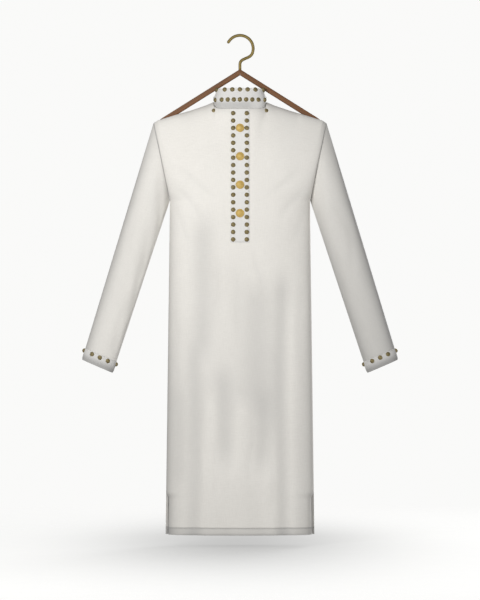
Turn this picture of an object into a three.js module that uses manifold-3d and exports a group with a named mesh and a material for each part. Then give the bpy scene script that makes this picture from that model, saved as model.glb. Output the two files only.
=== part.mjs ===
// Long kurta with a band collar, hung on a plain wooden hanger with a brass hook.
//
// Millimetres, +Z up. The origin is the inside top of the hook, where a rail would carry it.
// The front of the kurta faces -Y, and the wearer's left sleeve is at +X.
// Each cut piece of cloth is one closed wall. Neighbours stay SEAM_GAP apart.

import * as THREE from 'three';
import { mergeVertices } from 'three/addons/utils/BufferGeometryUtils.js';
import Module from 'manifold-3d';

const wasm = await Module();
wasm.setup();

// ---------------------------------------------------------------- driving dimensions

const SEAM_GAP = 0.3;
const CLOTH = 2.0;
const FRONT = -1;
const BACK = 1;
const LEFT = 1;
const RIGHT = -1;

// Shoulder and armhole, seen from the front.
const TIP = { x: 216, z: -216 };
const UNDERARM = { x: 175, z: -409 };
const ARMHOLE_HALF_DEPTH = 36;
// The cloth turns over the shoulder ridge and through the underarm, so it is cut deeper there.
const FOLD_OVER = 2.6;
const SHOULDER_ROUNDING = 170;
const CHEST_ROUNDING = 210;

// Ridge of the shoulder seam, from the neck to the tip.
const SHOULDER_LINE = [
  { x: 66, z: -163 },
  { x: 86, z: -171.5 },
  { x: 126, z: -185 },
  { x: 162, z: -195.5 },
  { x: 206.5, z: -209.5 },
  { x: 216, z: -216 },
];

// The seam is left open over the last stretch, as a slot for the end of the hanger's arm.
const SLOT_LINE = [
  { x: 143, halfGap: 0 },
  { x: 153, halfGap: 6.6 },
  { x: 206.5, halfGap: 6.6 },
  { x: 216, halfGap: 0 },
];

const NECK = { halfWidth: 66, halfDepth: 46, frontZ: -181.5, sideZ: -163, backZ: -165, roundness: 2.6 };
const COLLAR = { rimHalfWidth: 59.5, rimHalfDepth: 43, rimZ: -129.5, sideDip: 7.5, rows: 3 };

// Side seam below the armhole, and how far the cloth stands from the middle plane.
const SIDE_LINE = [
  { z: -409, halfWidth: 175 },
  { z: -630, halfWidth: 178 },
  { z: -900, halfWidth: 181.5 },
  { z: -1243, halfWidth: 186 },
];
const DEPTH_LINE = [
  { z: -160, front: 55, back: 53 },
  { z: -409, front: 60, back: 58 },
  { z: -800, front: 60, back: 59 },
  { z: -1243, front: 66, back: 65 },
];
const SECTION_ROUNDNESS = 2.6;
const HEM_Z = -1243;

// Side slits: the front panel is cut back a little, and both edges stand apart.
const SLIT = { topZ: -1138, frontInset: 6.5, halfGap: 4, runOut: 12 };

// Soft vertical folds: a positive depth is a trough, a negative one a ridge.
const FOLD_RUN_OUT = 90;
const FRONT_FOLDS = [
  { x: -145, width: 26, top: -560, bottom: -1400, depth: -3.5 },
  { x: -112, width: 24, top: -620, bottom: -1400, depth: 7 },
  { x: -86, width: 26, top: -400, bottom: -740, depth: 5 },
  { x: -72, width: 24, top: -760, bottom: -1400, depth: -3.5 },
  { x: -34, width: 24, top: -800, bottom: -1120, depth: 6 },
  { x: 10, width: 28, top: -860, bottom: -1400, depth: -4 },
  { x: 48, width: 34, top: -620, bottom: -900, depth: 5 },
  { x: 64, width: 26, top: -800, bottom: -1180, depth: 6 },
  { x: 100, width: 24, top: -500, bottom: -760, depth: 5.5 },
  { x: 96, width: 22, top: -900, bottom: -1400, depth: -3 },
  { x: 124, width: 24, top: -880, bottom: -1400, depth: 7 },
];
const BACK_FOLDS = [
  { x: -138, width: 28, top: -480, bottom: -1400, depth: -3 },
  { x: -100, width: 26, top: -520, bottom: -1400, depth: 7 },
  { x: -58, width: 26, top: -700, bottom: -1400, depth: -4 },
  { x: -22, width: 28, top: -460, bottom: -1400, depth: 6 },
  { x: 22, width: 28, top: -780, bottom: -1400, depth: -4 },
  { x: 62, width: 26, top: -560, bottom: -1160, depth: 6 },
  { x: 112, width: 26, top: -640, bottom: -1400, depth: 7 },
  { x: 146, width: 26, top: -820, bottom: -1400, depth: -3 },
];

// Points across one half of a panel's top edge. Lower down they spread evenly.
const TOP_COLUMNS = [0, 16, 32, 46, 57, 63.5, 66, 86, 106, 126, 143, 153, 180, 206.5, 216];
const HALF_COLUMNS = TOP_COLUMNS.length - 1;
const NECK_COLUMNS = TOP_COLUMNS.indexOf(NECK.halfWidth);
const ARMHOLE_STEPS = 9;
const BODY_LEVELS = [-417, -460, -515, -570, -630, -700, -780, -860, -940, -1020, -1085, -1138, -1150, HEM_Z];

// Sleeve, as its outer and inner edges seen from the front.
const SLEEVE = {
  outerHem: { x: 395, z: -806.5 },
  innerHem: { x: 318, z: -840 },
  hemHalfDepth: 27,
  outerPace: 0.85,
  innerPace: 1.3,
  settle: 0.25,
};
const SLEEVE_STATIONS = [0, 0.04, 0.1, 0.18, 0.27, 0.37, 0.47, 0.57, 0.67, 0.77, 0.87, 0.94, 1];
const CUFF = { height: 30, proud: 0.4, beadAbove: 23, beadsAcross: 5 };

const PLACKET = { halfWidth: 24, topZ: -182.6, bottomZ: -515, thickness: 1.6 };

const BEAD = { radius: 5.4, height: 2.8, root: 1.1, sides: 8 };
const PLACKET_BEADS = { x: 16.9, firstZ: -192.8, spacing: 18.5, count: 18 };
const RIM_BEADS = { frontZ: -133.5, backZ: -133.5, spacing: 19.15, toEachSide: 3 };
const BAND_BEADS = { frontZ: -158.5, backZ: -152, spacing: 15.3, toEachSide: 4 };
const NECK_CORNER_BEAD = { x: 65, z: -186 };

const BUTTON = { radius: 10.5, rimHeight: 2.2, crownHeight: 4.2, firstZ: -229.5, spacing: 70.8, count: 4, sides: 16 };

const HOOK = {
  wireRadius: 3.75,
  bendRadius: 33,
  endAngle: 157,
  turnAngle: -19,
  turnReach: 18,
  stemTopZ: -69,
  stemEndZ: -91,
  sides: 8,
  steps: 30,
};
const ARM = { apexZ: -81.5, slope: 0.6277, height: 14.6, halfDepth: 6, bore: 4.05 };
// Stations along one arm: its height and depth shrink into a rounded end under the cloth.
const ARM_STATIONS = [
  { x: 0.15, size: 1 },
  { x: 70, size: 1 },
  { x: 140, size: 1 },
  { x: 192, size: 1 },
  { x: 199, size: 0.94 },
  { x: 203.5, size: 0.76 },
  { x: 205.5, size: 0.45 },
];

// ---------------------------------------------------------------- materials

function finish(color, roughness, metalness = 0) {
  return new THREE.MeshStandardMaterial({ color, roughness, metalness });
}

const COTTON = finish(0xe9e5dc, 0.85);
const TRIM_COTTON = finish(0xe0dcd3, 0.85);
const BRASS = finish(0xb8924e, 0.4, 0.9);
const WOOD = finish(0x75502f, 0.5);

// ---------------------------------------------------------------- small helpers

const { lerp, clamp, smoothstep, degToRad } = THREE.MathUtils;

// Value of one column of a table, read at a place along another column.
function lookup(table, key, at, column) {
  const rising = table[0][key] < table[table.length - 1][key];
  const rows = rising ? table : [...table].reverse();
  const last = rows[rows.length - 1];
  if (at <= rows[0][key]) return rows[0][column];
  if (at >= last[key]) return last[column];
  const next = rows.findIndex((row) => row[key] > at);
  const low = rows[next - 1];
  const high = rows[next];
  return lerp(low[column], high[column], (at - low[key]) / (high[key] - low[key]));
}

function superellipse(ratio, exponent) {
  return (1 - Math.min(1, Math.abs(ratio)) ** exponent) ** (1 / exponent);
}

// Share of the way round a half turn, for an even spread of points on an ellipse.
function roundShare(step, steps) {
  return (1 - Math.cos((Math.PI * step) / steps)) / 2;
}

// Merges shared points and drops empty triangles.
function closed(geometry) {
  const bare = geometry.clone();
  bare.deleteAttribute('normal');
  bare.deleteAttribute('uv');
  const merged = mergeVertices(bare, 1e-3);
  const index = merged.getIndex().array;
  const kept = [];
  for (let i = 0; i < index.length; i += 3) {
    const [a, b, c] = [index[i], index[i + 1], index[i + 2]];
    if (a !== b && b !== c && c !== a) kept.push(a, b, c);
  }
  merged.setIndex(kept);
  return merged;
}

function signedVolume(points, index) {
  let total = 0;
  for (let i = 0; i < index.length; i += 3) {
    const [a, b, c] = [points[index[i]], points[index[i + 1]], points[index[i + 2]]];
    total += a.dot(new THREE.Vector3().crossVectors(b, c));
  }
  return total / 6;
}

// Geometry of points and triangles, with its faces turned outwards.
function facingOut(points, index) {
  const outward = signedVolume(points, index) > 0;
  const turned = outward ? index : [...index].reverse();
  const geometry = new THREE.BufferGeometry().setFromPoints(points);
  geometry.setIndex(turned);
  return geometry;
}

// A wall from rows of outer and inner points. A ring closes on itself, and a panel has side edges.
function wall(outer, inner, ring = false) {
  const rows = outer.length;
  const columns = outer[0].length;
  const points = [...outer.flat(), ...inner.flat()];
  const shift = rows * columns;
  const spans = ring ? columns : columns - 1;
  const index = [];
  const quad = (a, b, c, d) => index.push(a, b, c, a, c, d);
  for (let r = 0; r < rows - 1; r += 1) {
    for (let c = 0; c < spans; c += 1) {
      const next = (c + 1) % columns;
      const [a, b] = [r * columns + c, r * columns + next];
      const [d, e] = [a + columns, b + columns];
      quad(a, b, e, d);
      quad(a + shift, d + shift, e + shift, b + shift);
    }
  }
  for (let c = 0; c < spans; c += 1) {
    const next = (c + 1) % columns;
    const base = (rows - 1) * columns;
    quad(c, c + shift, next + shift, next);
    quad(base + c, base + next, base + next + shift, base + c + shift);
  }
  for (let r = 0; !ring && r < rows - 1; r += 1) {
    const [a, b] = [r * columns, (r + 1) * columns];
    const [c, d] = [a + columns - 1, b + columns - 1];
    quad(a, b, b + shift, a + shift);
    quad(c, c + shift, d + shift, d);
  }
  return facingOut(points, index);
}

// A solid bar through rings of points, closed by a fan at each end.
function bar(rings) {
  const sides = rings[0].length;
  const points = rings.flat();
  const index = [];
  for (let r = 0; r < rings.length - 1; r += 1) {
    for (let s = 0; s < sides; s += 1) {
      const [a, b] = [r * sides + s, r * sides + ((s + 1) % sides)];
      index.push(a, b, b + sides, a, b + sides, a + sides);
    }
  }
  const base = (rings.length - 1) * sides;
  for (let s = 1; s < sides - 1; s += 1) {
    index.push(0, s + 1, s);
    index.push(base, base + s, base + s + 1);
  }
  return facingOut(points, index);
}

function toSolid(geometry) {
  const merged = closed(geometry);
  const vertProperties = Float32Array.from(merged.getAttribute('position').array);
  const triVerts = Uint32Array.from(merged.getIndex().array);
  return new wasm.Manifold(new wasm.Mesh({ numProp: 3, vertProperties, triVerts }));
}

function fromSolid(solid) {
  const mesh = solid.getMesh();
  const geometry = new THREE.BufferGeometry();
  geometry.setAttribute('position', new THREE.BufferAttribute(Float32Array.from(mesh.vertProperties), 3));
  geometry.setIndex(Array.from(mesh.triVerts));
  return geometry;
}

// A round form turned about the Y axis, stood at a place and facing along a direction.
function turnedAt(profile, sides, place, facing) {
  const geometry = new THREE.LatheGeometry(profile, sides);
  const turn = new THREE.Quaternion().setFromUnitVectors(new THREE.Vector3(0, 1, 0), facing);
  geometry.applyQuaternion(turn);
  geometry.translate(place.x, place.y, place.z);
  return geometry;
}

function part(name, geometry, material) {
  const mesh = new THREE.Mesh(geometry, material);
  mesh.name = name;
  return mesh;
}

// ---------------------------------------------------------------- body panels

// Rows of a panel: shares of the armhole, then heights below the underarm.
const ROWS = [
  ...Array.from({ length: ARMHOLE_STEPS + 1 }, (_, step) => ({ share: roundShare(step, ARMHOLE_STEPS) })),
  ...BODY_LEVELS.map((z) => ({ z })),
];

// Top edge of a panel: the neck seam in the middle, the shoulder ridge on each side.
function topEdge(side, x, inset) {
  const reach = Math.abs(x);
  if (reach > NECK.halfWidth) {
    const fold = inset > 0 ? FOLD_OVER : 0;
    const depth = SEAM_GAP / 2 + lookup(SLOT_LINE, 'x', reach, 'halfGap');
    return { x, depth, z: lookup(SHOULDER_LINE, 'x', reach, 'z') - fold };
  }
  const round = superellipse(x / NECK.halfWidth, NECK.roundness);
  const sideShare = (1 - round) ** 2;
  const middleZ = side === FRONT ? NECK.frontZ : NECK.backZ;
  return {
    x: (x * (NECK.halfWidth - inset)) / NECK.halfWidth,
    depth: Math.max(SEAM_GAP / 2, (NECK.halfDepth - inset) * round),
    z: lerp(middleZ, NECK.sideZ, sideShare),
  };
}

function foldDepth(side, x, z) {
  const folds = side === FRONT ? FRONT_FOLDS : BACK_FOLDS;
  return folds.reduce((sum, fold) => {
    const across = Math.exp(-(((x - fold.x) / fold.width) ** 2));
    const start = smoothstep(fold.top - z, 0, FOLD_RUN_OUT);
    const end = smoothstep(z - fold.bottom, 0, FOLD_RUN_OUT);
    return sum + fold.depth * across * start * end;
  }, 0);
}

// Half width of a panel at a row below the underarm, and how far its edge stands from the middle.
function sideEdge(side, z, inset) {
  const open = smoothstep(SLIT.topZ - z, 0, SLIT.runOut);
  const cutBack = side === FRONT ? SLIT.frontInset * open : 0;
  const halfWidth = lookup(SIDE_LINE, 'z', z, 'halfWidth') - cutBack;
  return { halfWidth: halfWidth - inset * (1 - open), depth: Math.max(SEAM_GAP / 2, (SLIT.halfGap - inset) * open) };
}

// Depth of the armhole's loop at a share of its height: full near the top, narrow at the underarm.
function armholeDepth(share, inset) {
  const depth = ARMHOLE_HALF_DEPTH * 2 * Math.sqrt(share * (1 - share) * (1 - share ** 2));
  return Math.max(0, depth - inset);
}

// How far the cloth has come forward, a given drop below its top edge.
function roundingShare(drop, topDepth) {
  const shoulder = 1 - Math.min(1, drop / SHOULDER_ROUNDING);
  const chest = 1 - Math.min(1, drop / CHEST_ROUNDING);
  return lerp(Math.sqrt(1 - shoulder ** 2), 1 - chest ** 2, clamp(topDepth / NECK.halfDepth, 0, 1));
}

// One point of a panel. The inset is 0 on its outside and CLOTH on its inside.
function panelPoint(side, column, row, inset) {
  const away = Math.abs(column);
  const hand = Math.sign(column);
  const topX = hand * TOP_COLUMNS[away];
  const top = topEdge(side, topX, inset);
  const fold = inset > 0 ? FOLD_OVER : 0;
  const above = row.share !== undefined;
  const spread = above ? smoothstep(row.share, 0, 1) : 1;
  const ratio = lerp(top.x / TIP.x, (hand * away) / HALF_COLUMNS, spread);
  const z = above ? lerp(top.z, UNDERARM.z + fold, row.share) : row.z;
  const edge = above
    ? { halfWidth: armholeX(row.share, fold), depth: armholeDepth(row.share, inset) }
    : sideEdge(side, z, inset);
  const middle = lookup(DEPTH_LINE, 'z', z, side === FRONT ? 'front' : 'back') - inset;
  const crown = superellipse(ratio, SECTION_ROUNDNESS);
  const full = edge.depth + (middle - edge.depth) * crown;
  const x = ratio * edge.halfWidth;
  const round = roundingShare(top.z - z, top.depth);
  const depth = lerp(top.depth, full, round) - foldDepth(side, x, z) * crown;
  return new THREE.Vector3(x, side * Math.max(SEAM_GAP / 2, depth), z);
}

// Half width at a share of the armhole seam, on its outside or along its folded-over inside.
function armholeX(share, fold) {
  const z = lerp(TIP.z - fold, UNDERARM.z + fold, share);
  return lerp(TIP.x, UNDERARM.x, (z - TIP.z) / (UNDERARM.z - TIP.z));
}

function panelRow(side, row, inset) {
  const columns = Array.from({ length: 2 * HALF_COLUMNS + 1 }, (_, i) => i - HALF_COLUMNS);
  return columns.map((column) => panelPoint(side, column, row, inset));
}

function panelGrid(side, inset) {
  return ROWS.map((row) => panelRow(side, row, inset));
}

const FRONT_GRID = panelGrid(FRONT, 0);

// Point of a row of points at a given x.
function alongRow(row, x) {
  const next = clamp(row.findIndex((point) => point.x > x), 1, row.length - 1);
  const share = (x - row[next - 1].x) / (row[next].x - row[next - 1].x);
  return row[next - 1].clone().lerp(row[next], share);
}

// Point and outward direction on a grid of rows, at a given x and z.
function onGrid(grid, x, z) {
  const line = grid.map((row) => alongRow(row, x));
  const next = clamp(line.findIndex((point) => point.z < z), 1, line.length - 1);
  const share = (z - line[next - 1].z) / (line[next].z - line[next - 1].z);
  const place = line[next - 1].clone().lerp(line[next], share);
  const down = line[next].clone().sub(line[next - 1]);
  const probe = 2;
  const across = alongRow(grid[next], x + probe).sub(alongRow(grid[next], x - probe));
  const facing = new THREE.Vector3().crossVectors(across, down).normalize();
  if (facing.y * place.y < 0) facing.negate();
  return { place, facing };
}

// ---------------------------------------------------------------- beads

function beadAt(place, facing) {
  const profile = [
    new THREE.Vector2(0, -BEAD.root),
    new THREE.Vector2(BEAD.radius, -BEAD.root),
    new THREE.Vector2(BEAD.radius * 0.66, BEAD.height * 0.8),
    new THREE.Vector2(0, BEAD.height),
  ];
  return turnedAt(profile, BEAD.sides, place, facing);
}

function withBeads(geometry, spots) {
  const beads = spots.map(({ place, facing }) => toSolid(beadAt(place, facing)));
  return fromSolid(beads.reduce((solid, bead) => solid.add(bead), toSolid(geometry)));
}

function frontPanel() {
  const corners = [LEFT, RIGHT].map((hand) => onGrid(FRONT_GRID, hand * NECK_CORNER_BEAD.x, NECK_CORNER_BEAD.z));
  return part('front', withBeads(wall(FRONT_GRID, panelGrid(FRONT, CLOTH)), corners), COTTON);
}

function backPanel() {
  return part('back', wall(panelGrid(BACK, 0), panelGrid(BACK, CLOTH)), COTTON);
}

// ---------------------------------------------------------------- collar

// Stations round the neck, from the wearer's right along the front and back along the back.
function neckStations() {
  const columns = Array.from({ length: 2 * NECK_COLUMNS }, (_, i) => i - NECK_COLUMNS);
  return [
    ...columns.map((column) => ({ side: FRONT, column })),
    ...columns.map((column) => ({ side: BACK, column: -column })),
  ];
}

function collarPoint(station, rise, inset) {
  const { side, column } = station;
  const x = Math.sign(column) * TOP_COLUMNS[Math.abs(column)];
  const seam = topEdge(side, x, inset);
  const round = superellipse(x / NECK.halfWidth, NECK.roundness);
  const rim = {
    x: (x / NECK.halfWidth) * (COLLAR.rimHalfWidth - inset),
    depth: round * (COLLAR.rimHalfDepth - inset),
    z: COLLAR.rimZ - COLLAR.sideDip * (1 - round) ** 2,
  };
  const seamDepth = round === 0 ? 0 : seam.depth;
  return new THREE.Vector3(
    lerp(seam.x, rim.x, rise),
    side * lerp(seamDepth, rim.depth, rise),
    lerp(seam.z + SEAM_GAP * 1.4, rim.z, rise),
  );
}

function collarRing(rise, inset) {
  return neckStations().map((station) => collarPoint(station, rise, inset));
}

// Spots for one row of beads, across the front and again across the back.
function collarSpots(outer, row) {
  const wide = (points) => [...points].sort((a, b) => a.x - b.x);
  const spots = [];
  for (const side of [FRONT, BACK]) {
    const half = outer.map((ring) => wide(ring.filter((point) => point.y * side > -1e-6))).reverse();
    for (let k = -row.toEachSide; k <= row.toEachSide; k += 1) {
      spots.push(onGrid(half, k * row.spacing, side === FRONT ? row.frontZ : row.backZ));
    }
  }
  return spots;
}

function collar() {
  const rises = Array.from({ length: COLLAR.rows + 1 }, (_, i) => i / COLLAR.rows);
  const outer = rises.map((rise) => collarRing(rise, 0));
  const inner = rises.map((rise) => collarRing(rise, CLOTH));
  const spots = [...collarSpots(outer, RIM_BEADS), ...collarSpots(outer, BAND_BEADS)];
  return part('collar', withBeads(wall(outer, inner, true), spots), TRIM_COTTON);
}

// ---------------------------------------------------------------- placket and buttons

// A strip of the front's own rows, moved out by a distance. It keeps the front's middle columns.
function placketRow(row, distance) {
  const middle = row.filter((point) => Math.abs(point.x) < PLACKET.halfWidth);
  const strip = [alongRow(row, -PLACKET.halfWidth), ...middle, alongRow(row, PLACKET.halfWidth)];
  return strip.map((point) => point.clone().add(new THREE.Vector3(0, FRONT * distance, 0)));
}

function placketGrid(distance) {
  const rows = FRONT_GRID.filter((row) => alongRow(row, 0).z >= PLACKET.bottomZ);
  const grid = rows.map((row) => placketRow(row, distance));
  const lowered = PLACKET.topZ - NECK.frontZ;
  grid[0].forEach((point) => point.setZ(point.z + lowered));
  return grid;
}

const PLACKET_GRID = placketGrid(SEAM_GAP + PLACKET.thickness);

function placket() {
  const spots = [];
  for (let k = 0; k < PLACKET_BEADS.count; k += 1) {
    const z = PLACKET_BEADS.firstZ - k * PLACKET_BEADS.spacing;
    for (const hand of [RIGHT, LEFT]) {
      spots.push(onGrid(PLACKET_GRID, hand * PLACKET_BEADS.x, z));
    }
  }
  return part('placket', withBeads(wall(PLACKET_GRID, placketGrid(SEAM_GAP)), spots), TRIM_COTTON);
}

function button(number) {
  const profile = [
    new THREE.Vector2(0, SEAM_GAP),
    new THREE.Vector2(BUTTON.radius - 0.6, SEAM_GAP),
    new THREE.Vector2(BUTTON.radius, SEAM_GAP + 0.8),
    new THREE.Vector2(BUTTON.radius, BUTTON.rimHeight),
    new THREE.Vector2(BUTTON.radius * 0.7, BUTTON.crownHeight * 0.9),
    new THREE.Vector2(0, BUTTON.crownHeight),
  ];
  const { place, facing } = onGrid(PLACKET_GRID, 0, BUTTON.firstZ - (number - 1) * BUTTON.spacing);
  return part(`button_${number}`, closed(turnedAt(profile, BUTTON.sides, place, facing)), BRASS);
}

// ---------------------------------------------------------------- sleeves and cuffs

// Where the cuff's seam crosses an edge of the sleeve.
function cuffSeam(top, hem) {
  const length = Math.hypot(hem.x - top.x, hem.z - top.z);
  const share = 1 - CUFF.height / length;
  return { x: lerp(top.x, hem.x, share), z: lerp(top.z, hem.z, share) };
}

const OUTER_SEAM = cuffSeam(TIP, SLEEVE.outerHem);
const INNER_SEAM = cuffSeam(UNDERARM, SLEEVE.innerHem);

// Point on a section that runs from an outer edge to an inner edge.
function sectionPoint(outer, inner, share, halfDepth, side, inset) {
  const length = Math.hypot(inner.x - outer.x, inner.z - outer.z);
  const along = lerp(inset / length, 1 - inset / length, share);
  const depth = (halfDepth - inset) * 2 * Math.sqrt(share * (1 - share));
  return new THREE.Vector3(lerp(outer.x, inner.x, along), side * depth, lerp(outer.z, inner.z, along));
}

// Stations round a sleeve: down the front from the outer edge, and up the back.
function roundStations() {
  const steps = Array.from({ length: ARMHOLE_STEPS }, (_, i) => i);
  return [
    ...steps.map((step) => ({ side: FRONT, share: roundShare(step, ARMHOLE_STEPS) })),
    ...steps.map((step) => ({ side: BACK, share: roundShare(ARMHOLE_STEPS - step, ARMHOLE_STEPS) })),
  ];
}

// The armhole's own points, moved out across the seam.
function armholePoint(station, inset) {
  const point = panelPoint(station.side, HALF_COLUMNS, { share: station.share }, inset);
  const onMiddle = station.share === 0 || station.share === 1;
  return point.setY(onMiddle ? 0 : point.y).add(new THREE.Vector3(SEAM_GAP * 1.2, 0, 0));
}

function sleevePoint(station, travel, inset) {
  const start = armholePoint(station, inset);
  if (travel === 0) return start;
  const outerShare = travel ** SLEEVE.outerPace;
  const innerShare = travel ** SLEEVE.innerPace;
  const outer = { x: lerp(TIP.x, OUTER_SEAM.x, outerShare), z: lerp(TIP.z, OUTER_SEAM.z, outerShare) };
  const inner = { x: lerp(UNDERARM.x, INNER_SEAM.x, innerShare), z: lerp(UNDERARM.z, INNER_SEAM.z, innerShare) };
  outer.x += SEAM_GAP * 1.2 * (1 - travel);
  inner.x += SEAM_GAP * 1.2 * (1 - travel);
  const halfDepth = lerp(ARMHOLE_HALF_DEPTH, SLEEVE.hemHalfDepth, travel);
  const point = sectionPoint(outer, inner, station.share, halfDepth, station.side, inset);
  const settled = smoothstep(travel, 0, SLEEVE.settle);
  return point.setY(lerp(start.y, point.y, settled));
}

function sleeveRing(travel, inset) {
  return roundStations().map((station) => sleevePoint(station, travel, inset));
}

function mirrored(rings, hand) {
  return rings.map((ring) => ring.map((point) => point.clone().setX(hand * point.x)));
}

function sleeve(name, hand) {
  const outer = mirrored(SLEEVE_STATIONS.map((travel) => sleeveRing(travel, 0)), hand);
  const inner = mirrored(SLEEVE_STATIONS.map((travel) => sleeveRing(travel, CLOTH)), hand);
  return part(name, wall(outer, inner, true), COTTON);
}

// A section of the cuff, a distance above the sleeve's hem.
function cuffRing(above, inset) {
  const share = above / CUFF.height;
  const outer = { x: lerp(SLEEVE.outerHem.x, OUTER_SEAM.x, share), z: lerp(SLEEVE.outerHem.z, OUTER_SEAM.z, share) };
  const inner = { x: lerp(SLEEVE.innerHem.x, INNER_SEAM.x, share), z: lerp(SLEEVE.innerHem.z, INNER_SEAM.z, share) };
  return roundStations().map(({ side, share: around }) => (
    sectionPoint(outer, inner, around, SLEEVE.hemHalfDepth, side, inset)
  ));
}

// Spots for the cuff's beads: evenly spaced as seen from the front, one on each edge.
function cuffSpots() {
  const ring = cuffRing(CUFF.beadAbove, -CUFF.proud);
  const middle = new THREE.Vector3();
  ring.forEach((point) => middle.addScaledVector(point, 1 / ring.length));
  const closing = [...ring, ring[0]];
  const widest = ring[ARMHOLE_STEPS].x - ring[0].x;
  const spots = [];
  for (let k = 0; k < closing.length - 1; k += 1) {
    const [from, to] = [closing[k], closing[k + 1]];
    for (let b = 0; b < CUFF.beadsAcross; b += 1) {
      const x = ring[0].x + (widest * b) / (CUFF.beadsAcross - 1);
      const share = (x - from.x) / (to.x - from.x);
      const place = from.clone().lerp(to, share);
      if (share < 0 || share >= 1) continue;
      const facing = place.clone().sub(middle);
      facing.y *= (ring[0].distanceTo(ring[ARMHOLE_STEPS]) / (2 * SLEEVE.hemHalfDepth)) ** 2;
      spots.push({ place, facing: facing.normalize() });
    }
  }
  return spots;
}

function cuff(name, hand) {
  const levels = [CUFF.height - SEAM_GAP, CUFF.height / 2, 0];
  const outer = mirrored(levels.map((above) => cuffRing(above, -CUFF.proud)), hand);
  const inner = mirrored(levels.map((above) => cuffRing(above, CLOTH)), hand);
  const spots = cuffSpots().map(({ place, facing }) => ({
    place: place.clone().setX(hand * place.x),
    facing: facing.clone().setX(hand * facing.x),
  }));
  return part(name, withBeads(wall(outer, inner, true), spots), TRIM_COTTON);
}

// ---------------------------------------------------------------- hanger

class HookCurve extends THREE.Curve {
  constructor() {
    super();
    this.centreZ = HOOK.wireRadius - HOOK.bendRadius;
    const turn = degToRad(HOOK.turnAngle);
    const from = this.onArc(turn);
    const lead = new THREE.Vector3(Math.sin(turn), 0, -Math.cos(turn)).multiplyScalar(HOOK.turnReach);
    const to = new THREE.Vector3(0, 0, HOOK.stemTopZ);
    const rise = new THREE.Vector3(0, 0, HOOK.turnReach);
    this.bend = new THREE.CubicBezierCurve3(from, from.clone().add(lead), to.clone().add(rise), to);
    this.stem = new THREE.LineCurve3(to, new THREE.Vector3(0, 0, HOOK.stemEndZ));
    this.arcShare = 0.64;
    this.bendShare = 0.86;
  }

  onArc(angle) {
    const x = HOOK.bendRadius * Math.cos(angle);
    return new THREE.Vector3(x, 0, this.centreZ + HOOK.bendRadius * Math.sin(angle));
  }

  getPoint(t, target = new THREE.Vector3()) {
    if (t <= this.arcShare) {
      const angle = lerp(HOOK.endAngle, HOOK.turnAngle, t / this.arcShare);
      return target.copy(this.onArc(degToRad(angle)));
    }
    if (t <= this.bendShare) {
      return this.bend.getPoint((t - this.arcShare) / (this.bendShare - this.arcShare), target);
    }
    return this.stem.getPoint((t - this.bendShare) / (1 - this.bendShare), target);
  }
}

function hook() {
  const section = new THREE.Shape();
  for (let i = 0; i < HOOK.sides; i += 1) {
    const angle = (2 * Math.PI * i) / HOOK.sides;
    const [x, y] = [HOOK.wireRadius * Math.cos(angle), HOOK.wireRadius * Math.sin(angle)];
    if (i === 0) section.moveTo(x, y);
    else section.lineTo(x, y);
  }
  const geometry = new THREE.ExtrudeGeometry(section, { steps: HOOK.steps, extrudePath: new HookCurve() });
  return part('hanger_hook', closed(geometry), BRASS);
}

function armRing({ x, size }) {
  const middleZ = ARM.apexZ - ARM.slope * x - ARM.height / 2;
  const corners = 12;
  return Array.from({ length: corners }, (_, i) => {
    const angle = (2 * Math.PI * (i + 0.5)) / corners;
    const square = (value) => Math.sign(value) * Math.abs(value) ** 0.55;
    const y = square(Math.cos(angle)) * ARM.halfDepth * size;
    return new THREE.Vector3(x, y, middleZ + (square(Math.sin(angle)) * ARM.height * size) / 2);
  });
}

function hangerArm(name, hand) {
  const rings = mirrored(ARM_STATIONS.map(armRing), hand);
  const bore = new THREE.CylinderGeometry(ARM.bore, ARM.bore, 2 * (ARM.apexZ - HOOK.stemEndZ + SEAM_GAP), 20);
  bore.rotateX(Math.PI / 2);
  bore.translate(0, 0, ARM.apexZ);
  return part(name, fromSolid(toSolid(bar(rings)).subtract(toSolid(bore))), WOOD);
}

// ---------------------------------------------------------------- the whole part

const kurta = new THREE.Group();
kurta.add(frontPanel());
kurta.add(backPanel());
kurta.add(sleeve('sleeve_left', LEFT));
kurta.add(sleeve('sleeve_right', RIGHT));
kurta.add(cuff('cuff_left', LEFT));
kurta.add(cuff('cuff_right', RIGHT));
kurta.add(collar());
kurta.add(placket());
for (let number = 1; number <= BUTTON.count; number += 1) kurta.add(button(number));
kurta.add(hangerArm('hanger_arm_left', LEFT));
kurta.add(hangerArm('hanger_arm_right', RIGHT));
kurta.add(hook());

export default kurta;
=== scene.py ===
"""Looks of the kurta on its hanger: cloth, trims, hanger, light and camera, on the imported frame."""
import math
from functools import partial

import bmesh
import bpy
import numpy as np
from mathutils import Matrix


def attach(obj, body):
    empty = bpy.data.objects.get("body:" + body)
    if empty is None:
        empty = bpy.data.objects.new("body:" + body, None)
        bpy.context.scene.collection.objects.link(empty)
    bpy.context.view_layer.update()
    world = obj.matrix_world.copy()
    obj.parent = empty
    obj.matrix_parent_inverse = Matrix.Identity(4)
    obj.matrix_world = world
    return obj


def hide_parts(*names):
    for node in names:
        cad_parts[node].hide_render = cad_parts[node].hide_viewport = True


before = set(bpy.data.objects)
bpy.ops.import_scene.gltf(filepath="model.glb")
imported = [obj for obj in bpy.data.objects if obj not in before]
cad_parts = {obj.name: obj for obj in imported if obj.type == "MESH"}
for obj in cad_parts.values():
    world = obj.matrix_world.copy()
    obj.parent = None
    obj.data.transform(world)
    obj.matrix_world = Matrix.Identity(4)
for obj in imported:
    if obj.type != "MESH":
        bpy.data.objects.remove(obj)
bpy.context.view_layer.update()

# Lengths are in millimetres up to mesh_piece, which writes metres.
MM = 0.001
FRONT, BACK = -1, 1
LEFT, RIGHT = 1, -1
HANDS = ((LEFT, "left"), (RIGHT, "right"))
SEAM_GAP = 0.3
CLOTH = 1.2

# ---- dimensions of the solids and of the cloth over them

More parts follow.
